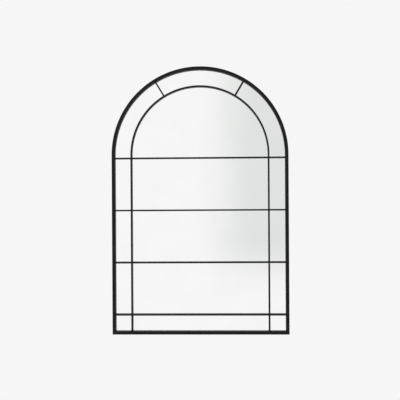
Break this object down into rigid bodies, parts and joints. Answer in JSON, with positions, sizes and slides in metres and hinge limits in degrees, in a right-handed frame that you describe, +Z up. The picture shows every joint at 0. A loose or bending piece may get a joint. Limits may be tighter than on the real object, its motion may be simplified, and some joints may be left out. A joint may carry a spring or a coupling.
{
  "type": "arched window mirror",
  "caption": "Tall wall mirror with a round top: black steel frame, an inner arch and crossbars over one sheet of glass, backed and clipped, hung on D-rings.",
  "frame": {"origin": "middle of the underside, centred on the depth", "axes": "+X to the viewer's right, +Y from the viewer to the wall, +Z up"},
  "size_m": [0.8, 0.032, 1.212],
  "materials": {
    "black_paint": "satin black powder coat, faintly textured",
    "mirror_glass": "clear silvered float glass",
    "hardboard": "tempered hardboard, smooth side out",
    "foam_tape": "closed-cell foam",
    "rubber": "moulded matt rubber",
    "zinc_plate": "bright zinc plate"
  },
  "bodies": {
    "frame": {"back_board": "hardboard", "bracket_screw_left_1": "zinc_plate", "bracket_screw_left_2": "zinc_plate", "bracket_screw_right_1": "zinc_plate", "bracket_screw_right_2": "zinc_plate", "clip_screw_arch_1": "zinc_plate", "clip_screw_arch_2": "zinc_plate", "clip_screw_arch_3": "zinc_plate", "clip_screw_arch_4": "zinc_plate", "clip_screw_rail_1": "zinc_plate", "clip_screw_rail_2": "zinc_plate", "clip_screw_stile_left_1": "zinc_plate", "clip_screw_stile_left_2": "zinc_plate", "clip_screw_stile_right_1": "zinc_plate", "clip_screw_stile_right_2": "zinc_plate", "crossbar_base": "black_paint", "crossbar_lower": "black_paint", "crossbar_spring": "black_paint", "crossbar_upper": "black_paint", "foam_tape_left": "foam_tape", "foam_tape_middle": "foam_tape", "foam_tape_right": "foam_tape", "frame_arch": "black_paint", "frame_bottom_rail": "black_paint", "frame_stile_left": "black_paint", "frame_stile_right": "black_paint", "hanger_bracket_left": "zinc_plate", "hanger_bracket_right": "zinc_plate", "hanger_strap_left": "zinc_plate", "hanger_strap_right": "zinc_plate", "inner_arch_bar": "black_paint", "inner_upright_left": "black_paint", "inner_upright_right": "black_paint", "mirror_glass": "mirror_glass", "radial_bar_left": "black_paint", "radial_bar_right": "black_paint", "retaining_clip_arch_1": "zinc_plate", "retaining_clip_arch_2": "zinc_plate", "retaining_clip_arch_3": "zinc_plate", "retaining_clip_arch_4": "zinc_plate", "retaining_clip_rail_1": "zinc_plate", "retaining_clip_rail_2": "zinc_plate", "retaining_clip_stile_left_1": "zinc_plate", "retaining_clip_stile_left_2": "zinc_plate", "retaining_clip_stile_right_1": "zinc_plate", "retaining_clip_stile_right_2": "zinc_plate", "setting_block_left": "rubber", "setting_block_right": "rubber", "strap_rivet_left_1": "zinc_plate", "strap_rivet_left_2": "zinc_plate", "strap_rivet_right_1": "zinc_plate", "strap_rivet_right_2": "zinc_plate", "wall_bumper_lower_left": "rubber", "wall_bumper_lower_right": "rubber", "wall_bumper_upper_left": "rubber", "wall_bumper_upper_right": "rubber"},
    "ring_left": {"hanger_ring_left": "zinc_plate"},
    "ring_right": {"hanger_ring_right": "zinc_plate"}
  },
  "joints": [
    {"name": "ring_left_swing", "type": "hinge", "parent": "frame", "child": "ring_left", "pos_m": [-0.375, 0.0121, 0.79], "axis": [1, 0, 0], "range_deg": [0, 180]},
    {"name": "ring_right_swing", "type": "hinge", "parent": "frame", "child": "ring_right", "pos_m": [0.375, 0.0121, 0.79], "axis": [1, 0, 0], "range_deg": [0, 180]}
  ]
}
